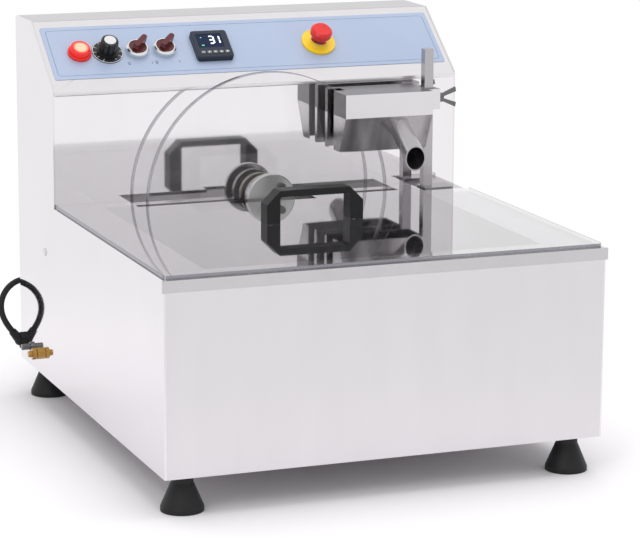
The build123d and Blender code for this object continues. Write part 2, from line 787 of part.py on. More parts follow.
stud_start = -half + sheet + stud_inside
earth_length = sheet + stud_inside + earth_stud_reach
earth = rod((stud_start, earth_stud_y, stud_z), (-1, 0, 0), stud_radius - 0.1, earth_length)
keep("earth_stud", earth)
earth_hole = rod((-half + 1, earth_stud_y, stud_z), (-1, 0, 0), stud_radius, 30)
nuts = [nut(-half, earth_stud_y, stud_z, nut_radius, nut_height) - earth_hole]
nuts.append(nut(-half - nut_height - 1, earth_stud_y, stud_z, nut_radius, nut_height) - earth_hole)
keep("earth_nuts", Compound(nuts))
steel_length = sheet + stud_inside + steel_stud_reach
steel = rod((stud_start, steel_stud_y, stud_z), (-1, 0, 0), stud_radius - 0.1, steel_length)
steel += rod((-half, steel_stud_y, stud_z), (-1, 0, 0), stud_radius + 2, 3)
keep("steel_stud", steel)
screw_plane = Plane((-half, side_screw_y, side_screw_z), z_dir=(-1, 0, 0))
screw_head = knob_body(screw_plane, [
    (side_screw_radius, 0),
    (side_screw_radius, 1.2),
    (side_screw_radius - 2, 2.6),
])
screw_head += rod((-half, side_screw_y, side_screw_z), (1, 0, 0), hub_screw_radius - 0.1, 8)
keep("side_screw", screw_head)

# Cord gland, lead, coil and plug
elbow = Vector(-half - gland_nut, gland_y, gland_z)
gland_axis = Vector(*gland_lean).normalized()
gland_tip = elbow + gland_axis * gland_tube
gland = Location(elbow) * Sphere(gland_ball)
gland += knob_body(Plane(elbow, z_dir=gland_axis), [(gland_ball - 0.5, 0), (cord_radius + 1.2, gland_tube)])
gland = gland & block(-half - far, -half - 1, -far, far, gland_z - far, gland_z + far)
gland = gland + nut(-half, gland_y, gland_z, gland_radius, gland_nut)
gland += rod((-half, gland_y, gland_z), (1, 0, 0), cord_radius - 0.1, 10)
keep("cord_gland", gland)

cord_route = [
    (-298, 169, 119),
    (-286, 177, 138),
    (-263, 188, 146),
    (-240, 197, 134),
    (-225, 203, 109),
    (-216, 208, 78),
    (-204, 217, 49),
    (-182, 231, 26),
    (-154, 248, 13),
    (-127, 262.5, 9),
    (-100, 275.4, 7),
    (-72, 286.6, 5),
]
cord_points = [gland_tip, gland_tip + gland_axis * cord_first_run]
cord_points += [Vector(*p) for p in cord_route]
cord_radii = []
for before, corner, after in zip(cord_points, cord_points[1:], cord_points[2:]):
    first = corner - before
    second = after - corner
    turn = radians(first.get_angle(second))
    shorter = min(first.length, second.length)
    cord_radii.append(0.45 * shorter / tan(turn / 2))
print("cord bend radii", [round(r, 1) for r in cord_radii])
cord_path = FilletPolyline(*cord_points, radius=cord_radii)
cord_section = Plane(cord_points[0], z_dir=cord_points[1] - cord_points[0]) * Circle(cord_radius)
cord = sweep(cord_section, path=cord_path)
cord_volume = pi * cord_radius ** 2 * cord_path.length
print("cord length", round(cord_path.length, 1), "volume ratio", round(cord.volume / cord_volume, 4))
keep("cord_lead", cord)
coil_outer = coil_turn_radius + cord_radius * 2
coil_inner = coil_turn_radius - cord_radius * 2
coil_height = coil_layers * 2 * cord_radius
coil_ring = Pos(coil_x, coil_y, 0) * Cylinder(coil_outer, coil_height, align=from_below)
coil_ring -= Pos(coil_x, coil_y, 0) * Cylinder(coil_inner, coil_height, align=from_below)
coil_ring = chamfer(coil_ring.edges().filter_by(GeomType.CIRCLE), coil_round)
keep("cord_coil", coil_ring)
plug_x = coil_x + plug_offset
plug_y = coil_y + coil_turn_radius + cord_radius
plug_body = rod((plug_x, plug_y, plug_radius), (1, 0, 0), plug_radius, plug_length)
plug_body = chamfer(plug_body.faces().sort_by(Axis.X)[0].edges(), plug_round)
for side in (-1, 1):
    pin_start = (plug_x + plug_length, plug_y + side * pin_pitch / 2, plug_radius)
    plug_body += rod(pin_start, (1, 0, 0), pin_radius, pin_length)
keep("mains_plug", plug_body)

for name, shape in parts.items():
    moved = Location(-middle) * shape
    export_step(moved, "parts/" + name + ".step")
print(len(parts), "nodes, origin moved by", middle)
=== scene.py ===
# %% [markdown]
# A table-top tempering machine: a polished steel cabinet with a heated tank under a clear
# lid, a clear wheel that lifts the melt, a scraper with a spout, and a sloped row of
# controls. The solids come from the frame with their real sizes. This lesson gives them
# their finishes and adds what only the eye needs, such as scales, weld beads and threads.

# %% Start
import math

import bmesh
import bpy
from mathutils import Matrix, Vector


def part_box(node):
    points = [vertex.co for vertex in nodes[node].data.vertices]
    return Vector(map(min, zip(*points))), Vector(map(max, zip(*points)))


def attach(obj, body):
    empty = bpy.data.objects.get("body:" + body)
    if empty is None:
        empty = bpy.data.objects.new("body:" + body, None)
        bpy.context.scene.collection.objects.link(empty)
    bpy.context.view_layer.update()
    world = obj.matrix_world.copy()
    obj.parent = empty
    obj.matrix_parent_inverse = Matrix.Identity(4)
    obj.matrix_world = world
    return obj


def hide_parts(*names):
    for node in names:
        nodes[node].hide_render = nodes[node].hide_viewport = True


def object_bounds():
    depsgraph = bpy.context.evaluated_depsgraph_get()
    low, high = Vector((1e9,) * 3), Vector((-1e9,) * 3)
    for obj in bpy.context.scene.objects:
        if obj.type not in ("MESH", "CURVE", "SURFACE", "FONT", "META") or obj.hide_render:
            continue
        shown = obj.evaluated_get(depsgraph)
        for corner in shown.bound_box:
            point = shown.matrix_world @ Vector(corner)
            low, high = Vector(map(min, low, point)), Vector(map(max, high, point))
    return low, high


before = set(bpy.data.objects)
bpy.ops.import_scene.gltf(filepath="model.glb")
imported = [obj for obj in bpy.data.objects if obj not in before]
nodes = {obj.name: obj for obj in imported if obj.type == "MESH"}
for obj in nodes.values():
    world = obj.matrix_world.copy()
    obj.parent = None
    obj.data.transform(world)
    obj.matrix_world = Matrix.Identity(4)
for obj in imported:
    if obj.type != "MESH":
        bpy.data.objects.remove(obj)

solid_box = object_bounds()
print("box of the solids", [round(v, 4) for corner in solid_box for v in corner])

# %% [markdown]
# Sizes read best in millimetres, while the scene is in metres. One helper turns a list of
# millimetres into a vector, and another gives the middle of a solid's box.

# %% Units and places
def mm(*values):
    """A vector in metres from millimetres."""
    return Vector(values) / 1000


def middle(node):
    """The middle of a solid's box at rest."""
    low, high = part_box(node)
    return (low + high) / 2


# %% [markdown]
# The camera was worked out from the corners of the casing in the photograph: it stands a
# little over three metres away on the front left, and looks down by about twelve degrees
# through a long lens. It rolls by a third of a degree.

# %% Camera
camera_place = mm(-1167.9, -3120.8, 923.6)
camera_aim = Vector((0.3523, 0.9117, -0.2114)).normalized()
camera_roll = math.radians(0.31)
camera_right = camera_aim.cross(Vector((0, 0, 1))).normalized()
camera_up = camera_right.cross(camera_aim)
camera_right = camera_right * math.cos(camera_roll) + camera_up * math.sin(camera_roll)
camera_up = camera_right.cross(camera_aim)
camera_data = bpy.data.cameras.new("camera")
camera_data.lens = 155.5
camera_data.sensor_width = 36.0
camera_data.sensor_fit = "HORIZONTAL"
camera = bpy.data.objects.new("camera", camera_data)
camera.matrix_world = Matrix.Translation(camera_place) @ Matrix(
    (camera_right, camera_up, -camera_aim)
).transposed().to_4x4()
bpy.context.scene.collection.objects.link(camera)
bpy.context.scene.camera = camera
print("camera", round(camera_place.length, 2), "m from the origin")

# %% [markdown]
# Every finish is a small node tree. To keep the maths readable, a socket is wrapped in a
# class whose operators add Math nodes, so a mask can be written as 1 - mask. Any other
# node comes from one method, which takes the node's type, its settings and its inputs.

# %% Shader maths
class Wire:
    """One output of a node, or a number, that can be used in plain arithmetic."""

    def __init__(self, tree, source):
        self.tree = tree
        self.source = source

    def math(self, operation, first, second=0.0):
        node = self.tree.nodes.new("ShaderNodeMath")
        node.operation = operation
        feed(self.tree, node.inputs[0], first)
        feed(self.tree, node.inputs[1], second)
        return Wire(self.tree, node.outputs[0])

    def __add__(self, other):
        return self.math("ADD", self, other)

    def __radd__(self, other):
        return self.math("ADD", other, self)

    def __sub__(self, other):
        return self.math("SUBTRACT", self, other)

    def __rsub__(self, other):
        return self.math("SUBTRACT", other, self)

    def __mul__(self, other):
        return self.math("MULTIPLY", self, other)

    def __rmul__(self, other):
        return self.math("MULTIPLY", other, self)

    def __abs__(self):
        return self.math("ABSOLUTE", self)

    def above(self, edge):
        """1 where the value is above the edge, 0 elsewhere."""
        return self.math("GREATER_THAN", self, edge)

    def below(self, edge):
        """1 where the value is below the edge, 0 elsewhere."""
        return self.math("LESS_THAN", self, edge)

    def larger(self, other):
        return self.math("MAXIMUM", self, other)

    def smaller(self, other):
        return self.math("MINIMUM", self, other)

    def root(self):
        return self.math("SQRT", self)


def feed(tree, socket, value):
    """Links a wire to a socket, or sets the socket's own value."""
    if isinstance(value, Wire):
        tree.links.new(value.source, socket)
    else:
        socket.default_value = value


class Nodes:
    """An emptied node tree, with one method that adds any node."""

    def __init__(self, tree):
        self.tree = tree
        tree.nodes.clear()

    def node(self, kind, settings=None, inputs=None, output=0):
        made = self.tree.nodes.new("ShaderNode" + kind)
        for name, value in (settings or {}).items():
            setattr(made, name, value)
        for name, value in (inputs or {}).items():
            feed(self.tree, made.inputs[name], value)
        return Wire(self.tree, made.outputs[output]) if made.outputs else None


class Finish(Nodes):
    """One material, with short names for the nodes that finishes share."""

    def __init__(self, name):
        self.material = bpy.data.materials.new(name)
        self.material.use_nodes = True
        super().__init__(self.material.node_tree)

    def place(self):
        """The point's X, Y and Z at rest, in metres."""
        here = self.node("TexCoord", output="Object")
        return [self.node("SeparateXYZ", inputs={0: here}, output=axis) for axis in range(3)]

    def point(self, x, y, z):
        return self.node("CombineXYZ", inputs={0: x, 1: y, 2: z})

    def noise(self, point, scale=1.0, detail=2.0):
        """Cloudy noise from 0 to 1 at a point that is already stretched as wanted."""
        return self.node("TexNoise", inputs={"Vector": point, "Scale": scale, "Detail": detail})

    def mix(self, mask, first, second):
        """A colour that goes from first to second as the mask goes from 0 to 1."""
        settings = {"data_type": "RGBA"}
        return self.node("Mix", settings, {0: mask, 6: first, 7: second}, output=2)

    def bump(self, height, depth, strength=1.0):
        return self.node("Bump", inputs={"Height": height, "Distance": depth, "Strength": strength})

    def surface(self, **inputs):
        """Ends the tree in a principled surface, with its inputs named with underscores."""
        named = {name.replace("_", " "): value for name, value in inputs.items()}
        made = self.node("BsdfPrincipled", inputs=named)
        self.node("OutputMaterial", inputs={"Surface": made})
        return self.material


def grey(level, tint=0.0):
    """A grey with an optional cool tint, as a colour with alpha."""
    return (level - tint, level, level + tint, 1.0)


# %% [markdown]
# Sheet steel comes from the mill with a fine grain in one direction, and hands and cloths
# leave faint clouds in its gloss. The grain is noise that is stretched along one axis. It
# drives the bump and a little of the roughness, and slow clouds vary the roughness too.
# Broad bands vary the tone: faintly on the cabinet, and strongly on the scraper's funnel.
# The hood's top and left faces have a painted shade: a deeper tone than its front, set by which way
# each face looks.

# %% Steel sheets
GRAIN_ALONG = 12.0
GRAIN_ACROSS = 900.0
GRAIN_BUMP = 0.25
CLOUD_SCALE = 7.0
BAND_SCALE = (26.0, 9.0, 6.0)
BAND_CONTRAST = 3.0
FACING = 0.7
X_AXIS, Y_AXIS, Z_AXIS = range(3)


def steel_tone(level):
    """The colour of steel, a grey with a little less green."""
    return (level, level * 0.975, level, 1.0)


def steel(
    name, along, level, roughness,
    grain=0.06, clouds=0.05, depth=0.00003, bands=0.008, painted_shade=None,
):
    """A sheet or bar of steel that is grained along one axis.

    Broad bands vary its tone, and faces that look up or left can get a painted shade, a deeper
    tone.
    """
    made = Finish(name)
    x, y, z = made.place()
    stretch = [GRAIN_ALONG if axis == along else GRAIN_ACROSS for axis in range(3)]
    lines = made.noise(made.point(x * stretch[0], y * stretch[1], z * stretch[2]))
    smears = made.noise(made.point(x, y, z), scale=CLOUD_SCALE, detail=3.0)
    gloss = roughness + (lines - 0.5) * grain + (smears - 0.5) * clouds
    wide = made.noise(made.point(x * BAND_SCALE[0], y * BAND_SCALE[1], z * BAND_SCALE[2]))
    broad = (wide - 0.5) * BAND_CONTRAST + 0.5
    tone = made.mix(broad, steel_tone(level - bands), steel_tone(level + bands))
    # Painted shade: faces that look up or left get a deeper tone.
    if painted_shade is not None:
        facing = made.node("TexCoord", output="Normal")
        left = made.node("SeparateXYZ", inputs={0: facing}, output="X").below(-FACING)
        upward = made.node("SeparateXYZ", inputs={0: facing}, output="Z").above(FACING)
        tone = made.mix(left.larger(upward), tone, steel_tone(painted_shade))
    return made.surface(
        Base_Color=tone, Metallic=1.0, Roughness=gloss,
        Normal=made.bump(lines, depth, GRAIN_BUMP),
    )


front_steel = steel("front_steel", X_AXIS, 0.71, 0.30)
deck_steel = steel("deck_steel", X_AXIS, 0.58, 0.24)
panel_steel = steel("panel_steel", X_AXIS, 0.80, 0.26)
side_steel = steel("side_steel", Y_AXIS, 0.78, 0.05, grain=0.02, clouds=0.03)
mirror_steel = steel("mirror_steel", X_AXIS, 0.86, 0.045, grain=0.02, clouds=0.03, depth=0.00001)
tank_steel = steel("tank_steel", X_AXIS, 0.32, 0.30, clouds=0.14)
bar_steel = steel("bar_steel", Z_AXIS, 0.46, 0.24)
# The hood and its clamp get a painted shade on their top and left faces.
hood_steel = steel("hood_steel", X_AXIS, 0.72, 0.20, grain=0.04, painted_shade=0.13)
funnel_steel = steel("funnel_steel", Z_AXIS, 0.42, 0.18, grain=0.04, bands=0.26)
plain_steel = steel("plain_steel", X_AXIS, 0.60, 0.36)
print("steel finishes", len(bpy.data.materials))

# %% [markdown]
# The hub and its parts were turned on a lathe, so their grain runs in circles round the
# axle. Rings come from a noise whose first coordinate is the distance to that axle.

# %% Turned steel
axle = middle("hub_front_disc")
RING_SCALE = 2600.0
RING_DRIFT = 300.0
RING_GLOSS = 0.12
RING_DEPTH = 0.00004
RING_BUMP = 0.4


def turned(name, level, roughness):
    """Steel with fine rings round the wheel's axle."""
    made = Finish(name)
    x, y, z = made.place()
    across = x - axle.x
    up = z - axle.z
    radius = (across * across + up * up).root()
    rings = made.noise(made.point(radius * RING_SCALE, y * RING_DRIFT, 0.0))
    return made.surface(
        Base_Color=grey(level), Metallic=1.0, Roughness=roughness + (rings - 0.5) * RING_GLOSS,
        Normal=made.bump(rings, RING_DEPTH, RING_BUMP),
    )


hub_steel = turned("hub_steel", 0.50, 0.24)
shaft_steel = turned("shaft_steel", 0.28, 0.28)
bush_bronze = Finish("bush_bronze").surface(
    Base_Color=(0.22, 0.20, 0.17, 1), Metallic=1.0, Roughness=0.4
)
print("axle at", [round(v, 4) for v in axle])

# %% [markdown]
# Clear sheet shows little of itself when seen square on, and acts like a mirror at a
# shallow angle. A metal-like gloss whose alpha follows the Fresnel term does both, and it
# lets light through to the tank. The back of each face is left clear, so that light isn't
# caught inside the sheet. Cut edges look grey, so a thin band along them is less clear.

# %% Clear sheet
SHEET_INDEX = 1.49
CLEAR_TONE = (0.94, 0.925, 0.945, 1)
EDGE_TONE = (0.30, 0.30, 0.33, 1)
EDGE_ALPHA = 0.5
EDGE_ROUGHNESS = 0.15
HAZE_SCALE = 11.0
HAZE_ROUGHNESS = 0.05
CLEAR_ROUGHNESS = 0.01


def clear(name, edge_mask, strength=1.5, base=0.20):
    """Clear plastic, from a function that marks its cut edges with 1."""
    made = Finish(name)
    x, y, z = made.place()
    edge = edge_mask(x, y, z)
    front = 1 - made.node("NewGeometry", output="Backfacing")
    shine = (made.node("Fresnel", inputs={"IOR": SHEET_INDEX}) * strength + base) * front
    haze = made.noise(made.point(x, y, z), scale=HAZE_SCALE, detail=3.0)
    gloss = haze * HAZE_ROUGHNESS + CLEAR_ROUGHNESS + edge * EDGE_ROUGHNESS
    alpha = (shine + edge * EDGE_ALPHA).smaller(1.0)
    tone = made.mix(edge, CLEAR_TONE, EDGE_TONE)
    return made.surface(Base_Color=tone, Metallic=1.0, Roughness=gloss, Alpha=alpha)


lid_low, lid_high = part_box("lid")
wheel_low, wheel_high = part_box("wheel")
wheel_radius = (wheel_high.x - wheel_low.x) / 2
EDGE_BAND = 0.0012


def lid_edges(x, y, z):
    """Marks a thin band along the lid's front and side edges."""
    half_width = (lid_high.x - lid_low.x) / 2 - EDGE_BAND
    sides = abs(x - middle("lid").x).above(half_width)
    front = y.below(lid_low.y + EDGE_BAND)
    return sides.larger(front)


def wheel_edges(x, y, z):
    """Marks the wheel's rim."""
    across = x - axle.x
    up = z - axle.z
    return (across * across + up * up).root().above(wheel_radius - EDGE_BAND)


lid_clear = clear("lid_clear", lid_edges)
wheel_clear = clear("wheel_clear", wheel_edges, strength=1.0, base=0.02)
print("wheel radius", round(wheel_radius, 4))

# %% [markdown]
# Moulded plastic is never quite smooth. A fine noise gives the pitted skin of a handle or
# a foot, and the same noise breaks up the gloss so that highlights look soft. Small plain
# metal pieces need no grain at their size, so they get a colour and a gloss alone.

# %% Plastics and rubber
PIT_SCALE = 1400.0
PIT_BUMP = 0.5
WEAR_SCALE = 40.0
GLOSS_CHANGE = 0.10
WORN_GAIN = 1.25
WORN_LIFT = 0.004


def moulded(name, colour, roughness, pits=0.00008, **more):
    """A moulded plastic or rubber with a fine pitted skin."""
    made = Finish(name)
    x, y, z = made.place()
    fine = made.noise(made.point(x, y, z), scale=PIT_SCALE)
    wear = made.noise(made.point(x, y, z), scale=WEAR_SCALE, detail=3.0)
    gloss = roughness + (fine - 0.5) * GLOSS_CHANGE + (wear - 0.5) * GLOSS_CHANGE
    worn = tuple(min(1.0, part * WORN_GAIN + WORN_LIFT) for part in colour)
    tone = made.mix(wear, (*colour, 1), (*worn, 1))
    return made.surface(
        Base_Color=tone, Roughness=gloss, Normal=made.bump(fine, pits, PIT_BUMP), **more
    )


handle_black = moulded("handle_black", (0.008, 0.008, 0.009), 0.42, Specular_IOR_Level=0.3)
foot_black = moulded("foot_black", (0.012, 0.012, 0.013), 0.50, Specular_IOR_Level=0.25)
cord_black = moulded("cord_black", (0.008, 0.008, 0.009), 0.46, 0.00005, Specular_IOR_Level=0.25)
knob_black = moulded("knob_black", (0.010, 0.010, 0.012), 0.30, pits=0.00003)
case_black = moulded("case_black", (0.020, 0.026, 0.042), 0.38, 0.00003, Specular_IOR_Level=0.3)
key_grey = moulded("key_grey", (0.16, 0.17, 0.19), 0.50)
lever_red = moulded("lever_red", (0.085, 0.009, 0.011), 0.20, pits=0.00002)
stop_red = moulded("stop_red", (0.62, 0.012, 0.010), 0.28, pits=0.00002)
plate_yellow = moulded("plate_yellow", (0.83, 0.55, 0.015), 0.34, pits=0.00002)
leaf_dark = moulded("leaf_dark", (0.05, 0.05, 0.055), 0.45)
heater_red = moulded("heater_red", (0.35, 0.07, 0.03), 0.60)
motor_grey = moulded("motor_grey", (0.06, 0.065, 0.07), 0.45)
print_black = moulded("print_black", (0.015, 0.016, 0.02), 0.35, pits=0.00001)
print_white = moulded("print_white", (0.82, 0.82, 0.83), 0.40, pits=0.00001)
brass = Finish("brass").surface(Base_Color=(0.46, 0.27, 0.07, 1), Metallic=1.0, Roughness=0.24)
bright_metal = Finish("bright_metal").surface(Base_Color=grey(0.74), Metallic=1.0, Roughness=0.18)
dark_metal = Finish("dark_metal").surface(Base_Color=grey(0.16), Metallic=1.0, Roughness=0.26)
spun_metal = Finish("spun_metal").surface(Base_Color=grey(0.86), Metallic=1.0, Roughness=0.30)
ring_metal = Finish("ring_metal").surface(Base_Color=grey(0.78, 0.01), Metallic=1.0, Roughness=0.24)
print("finishes so far", len(bpy.data.materials))

# %% [markdown]
# The control panel slopes, so its own directions are needed: up the slope, and out of its
# face. They come from the two edges of the sloped sheet.

# %% Directions of the sloped panel
brow = mm(0, 136, 420)
panel_top = mm(0, 233, 494)
slope_up = (panel_top - brow).normalized()
slope_out = slope_up.cross(Vector((-1, 0, 0))).normalized()
print("slope out", [round(v, 4) for v in slope_out])

# %% [markdown]
# The overlay is a printed foil: pale blue with a thin dark line that runs round it. The
# line is the place where the distance to a rounded rectangle has one value. That distance
# is worked out from the point's own coordinates across and up the slope.

# %% Printed overlay
overlay_middle = middle("panel_overlay")
overlay_low, overlay_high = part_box("panel_overlay")
OVERLAY_ACROSS = overlay_high.x - overlay_low.x
OVERLAY_ALONG = 0.0915
LINE_INSET = 0.006
LINE_WIDTH = 0.0009
LINE_CORNER = 0.005
FOIL_TONES = (0.35, 0.42, 0.58, 1), (0.40, 0.47, 0.62, 1)
LINE_TONE = (0.17, 0.24, 0.37, 1)
FOIL_CLOUDS = 9.0
FOIL_GRAIN = 1500.0
FOIL_ROUGHNESS = 0.34
FOIL_GLOSS_CHANGE = 0.06
FOIL_DEPTH = 0.00001
FOIL_BUMP = 0.3


def overlay_print():
    """A pale blue foil with a thin line that runs round it."""
    made = Finish("overlay_print")
    x, y, z = made.place()
    up = (y - overlay_middle.y) * slope_up.y + (z - overlay_middle.z) * slope_up.z
    past_end = abs(x - overlay_middle.x) - (OVERLAY_ACROSS / 2 - LINE_INSET - LINE_CORNER)
    past_side = abs(up) - (OVERLAY_ALONG / 2 - LINE_INSET - LINE_CORNER)
    end_part = past_end.larger(0.0)
    side_part = past_side.larger(0.0)
    outside = (end_part * end_part + side_part * side_part).root()
    inside = past_end.larger(past_side).smaller(0.0)
    line = abs(outside + inside - LINE_CORNER).below(LINE_WIDTH / 2)
    cloud = made.noise(made.point(x, y, z), scale=FOIL_CLOUDS)
    tone = made.mix(line, made.mix(cloud, *FOIL_TONES), LINE_TONE)
    fine = made.noise(made.point(x, y, z), scale=FOIL_GRAIN)
    gloss = FOIL_ROUGHNESS + (fine - 0.5) * FOIL_GLOSS_CHANGE
    return made.surface(
        Base_Color=tone, Roughness=gloss, Normal=made.bump(fine, FOIL_DEPTH, FOIL_BUMP)
    )


overlay_blue = overlay_print()
print("overlay", round(OVERLAY_ACROSS, 4), "wide and", OVERLAY_ALONG, "up the slope")

# %% [markdown]
# The lamp of the start button glows through its red lens: the middle is pale and warm, and
# the sides are deep red. The glow is an emission whose colour depends on the distance to
# the button's axis, which stands square to the panel.

# %% Glowing lens
PALE_TONE = (0.95, 0.46, 0.30, 1)
DEEP_TONE = (0.72, 0.02, 0.015, 1)


def axis_distance(made, centre):
    """The distance to a line through a point that stands square to the panel."""
    x, y, z = made.place()
    side = x - centre.x
    up = (y - centre.y) * slope_up.y + (z - centre.z) * slope_up.z
    return (side * side + up * up).root()


def glowing(name, centre, pale_radius, deep_radius, glow):
    """A red lens that is pale inside one radius and deep red outside another."""
    made = Finish(name)
    distance = axis_distance(made, centre)
    fade = made.node(
        "MapRange",
        {"interpolation_type": "SMOOTHSTEP"},
        {"Value": distance, "From Min": pale_radius, "From Max": deep_radius},
    )
    tone = made.mix(fade, PALE_TONE, DEEP_TONE)
    return made.surface(
        Base_Color=tone, Roughness=0.22, Emission_Color=tone, Emission_Strength=glow
    )


start_spot = middle("start_cap")
start_glow = glowing("start_glow", start_spot, pale_radius=0.0055, deep_radius=0.0105, glow=0.35)
start_rim = glowing("start_rim", start_spot, pale_radius=0.002, deep_radius=0.004, glow=0.12)
print("start button at", [round(v, 4) for v in start_spot])

# %% [markdown]
# The controller's window is dark blue glass over a display. It is smooth, but it has a
# low specular level, because such a filter is made to keep reflections down. The figures
# on it give their own light, so they have an emission.

# %% Window
window_blue = Finish("window_blue").surface(
    Base_Color=(0.004, 0.012, 0.050, 1), Roughness=0.12, Specular_IOR_Level=0.22
)
digit_white = Finish("digit_white").surface(
    Base_Color=(0.80, 0.86, 0.90, 1), Emission_Color=(0.85, 0.95, 1.0, 1), Emission_Strength=0.9
)
digit_green = Finish("digit_green").surface(
    Base_Color=(0.10, 0.55, 0.25, 1), Emission_Color=(0.15, 0.85, 0.40, 1), Emission_Strength=0.7
)

# %% [markdown]
# Now each solid gets its finish. The nodes are listed by finish, and one loop puts the
# material in every slot of the node's mesh. Keys and levers come in numbered families.

# %% Finishes on the solids
finishes = [
    (front_steel, ["front_panel"]),
    (deck_steel, ["deck"]),
    (panel_steel, ["control_panel"]),
    (side_steel, ["side_panel_left", "side_panel_right"]),
    (mirror_steel, ["column_front"]),
    (tank_steel, ["tank"]),
    (hood_steel, ["scraper_hood", "scraper_clamp"]),
    (funnel_steel, ["scraper_hopper"]),
    (bar_steel, ["scraper_post", "spout_tube"]),
    (plain_steel, ["top_cover", "rear_panel", "bottom_plate", "motor_bracket"]),
    (lid_clear, ["lid"]),
    (wheel_clear, ["wheel"]),
    (hub_steel, ["hub_front_disc"]),
    (shaft_steel, ["wheel_shaft"]),
    (bush_bronze, ["shaft_bearing"]),
    (dark_metal, ["hub_screws", "wing_screw", "steel_stud"]),
    (bright_metal, ["handle_screws", "side_screw", "tank_probe", "stop_stem"]),
    (ring_metal, ["selector_ring_1", "selector_ring_2", "stop_collar"]),
    (spun_metal, ["speed_knob_cap"]),
    (brass, ["earth_stud", "earth_nuts"]),
    (leaf_dark, ["front_blade", "back_blade"]),
    (motor_grey, ["gear_motor"]),
    (heater_red, ["heater_mat"]),
    (handle_black, ["lid_handle"]),
    (foot_black, ["feet"]),
    (cord_black, ["cord_gland", "mains_plug"]),
    (overlay_blue, ["panel_overlay"]),
    (start_glow, ["start_cap"]),
    (start_rim, ["start_ring"]),
    (print_black, ["speed_dial"]),
    (knob_black, ["speed_knob"]),
    (lever_red, ["selector_lever_1", "selector_lever_2"]),
    (case_black, ["display_case"]),
    (window_blue, ["display_window"]),
    (key_grey, [f"display_key_{number}" for number in range(1, 6)]),
    (plate_yellow, ["stop_plate"]),
    (stop_red, ["stop_head"]),
]
dressed = []
for finish, names in finishes:
    for name in names:
        solid = nodes[name]
        solid.data.materials.clear()
        solid.data.materials.append(finish)
        dressed.append(name)
print("solids with a finish", len(dressed), "left", sorted(set(nodes) - set(dressed)))

# %% [markdown]
# Real sheet and moulded edges are never razor sharp, and a small round along them catches
# the light. A Weld modifier joins the split corners of the imported mesh, a Bevel rounds
# the sharp edges, and weighted normals keep the broad faces flat.

# %% Softened edges
EDGE_ANGLE = math.radians(40)
WELD_REACH = 0.00002
FINE_ROUND = 0.0003
BROAD_ROUND = 0.0007


def soften(name, width):
    """Rounds the sharp edges of a solid without changing its mesh."""
    solid = nodes[name]
    weld = solid.modifiers.new("weld", "WELD")
    weld.merge_threshold = WELD_REACH
    bevel = solid.modifiers.new("bevel", "BEVEL")
    bevel.width = width
    bevel.segments = 2
    bevel.limit_method = "ANGLE"
    bevel.angle_limit = EDGE_ANGLE
    bevel.use_clamp_overlap = True
    normals = solid.modifiers.new("normals", "WEIGHTED_NORMAL")
    normals.keep_sharp = False
    for face in solid.data.polygons:
        face.use_smooth = True


finely_rounded = ["scraper_hood", "scraper_hopper", "scraper_clamp", "lid"]
broadly_rounded = ["scraper_post", "control_panel", "display_case"]
for name in finely_rounded:
    soften(name, FINE_ROUND)
for name in broadly_rounded:
    soften(name, BROAD_ROUND)
print("solids with rounded edges", len(finely_rounded + broadly_rounded))

# %% [markdown]
# Small prints lie on a face as thin plates, about a tenth of a millimetre thick, so they
# are real shapes that any renderer shows. One helper extrudes outlines at a place on the
# panel, and another joins loops of points into a surface, for rings, beads and threads.
# Places are measured from the outermost face of the control below them.

# %% Thin plates
PRINT_THICK = 0.00012
RING_STEPS = 64


def span(node, direction):
    """The lowest and highest place of a solid along a direction."""
    places = [corner.co.dot(direction) for corner in nodes[node].data.vertices]
    return min(places), max(places)


def on_face(node):
    """A matrix at the middle of a control's outer face, X across, Y up the slope, Z out."""
    right = Vector((1, 0, 0))
    across = sum(span(node, right)) / 2
    along = sum(span(node, slope_up)) / 2
    out = span(node, slope_out)[1]
    origin = right * across + slope_up * along + slope_out * out
    turn = Matrix((right, slope_up, slope_out)).transposed().to_4x4()
    return Matrix.Translation(origin) @ turn


def make_piece(name, mesh, place, finish, body):
    """Turns a bmesh into a piece with a finish that rides on a body."""
    data = bpy.data.meshes.new(name)
    bmesh.ops.recalc_face_normals(mesh, faces=mesh.faces)
    mesh.to_mesh(data)
    mesh.free()
    data.materials.append(finish)
    piece = bpy.data.objects.new(name, data)
    piece.matrix_world = place
    bpy.context.scene.collection.objects.link(piece)
    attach(piece, body)
    return piece


def plates(name, outlines, place, finish, body, thick=PRINT_THICK):
    """One piece from closed outlines, each a list of X and Y, extruded towards Z."""
    mesh = bmesh.new()
    for outline in outlines:
        corners = [mesh.verts.new((x, y, 0.0)) for x, y in outline]
        face = mesh.faces.new(corners)
        raised = bmesh.ops.extrude_face_region(mesh, geom=[face])["geom"]
        top = [item for item in raised if isinstance(item, bmesh.types.BMVert)]
        bmesh.ops.translate(mesh, verts=top, vec=(0, 0, thick))
    return make_piece(name, mesh, place, finish, body)


def bar(x, y, width, height, turn=0.0):
    """The outline of a rectangle round a middle, turned by an angle."""
    signs = ((-1, -1), (1, -1), (1, 1), (-1, 1))
    half = [(width / 2 * across, height / 2 * along) for across, along in signs]
    c, s = math.cos(turn), math.sin(turn)
    return [(x + a * c - b * s, y + a * s + b * c) for a, b in half]


def circle_loop(mesh, centre, side, other, radius, steps):
    """New points on a circle, from its centre and two directions across it."""
    angles = [2 * math.pi * step / steps for step in range(steps)]
    return [
        mesh.verts.new(centre + (side * math.cos(angle) + other * math.sin(angle)) * radius)
        for angle in angles
    ]


def join_loops(mesh, loops, smooth=False):
    """Joins each loop of points to the next with a band of faces."""
    for low, high in zip(loops, loops[1:]):
        for index in range(len(low)):
            after = (index + 1) % len(low)
            face = mesh.faces.new((low[index], low[after], high[after], high[index]))
            face.smooth = smooth


def tube(mesh, loops, smooth=False):
    """A row of joined loops that is closed at both ends."""
    join_loops(mesh, loops, smooth)
    mesh.faces.new(loops[0][::-1])
    mesh.faces.new(loops[-1])


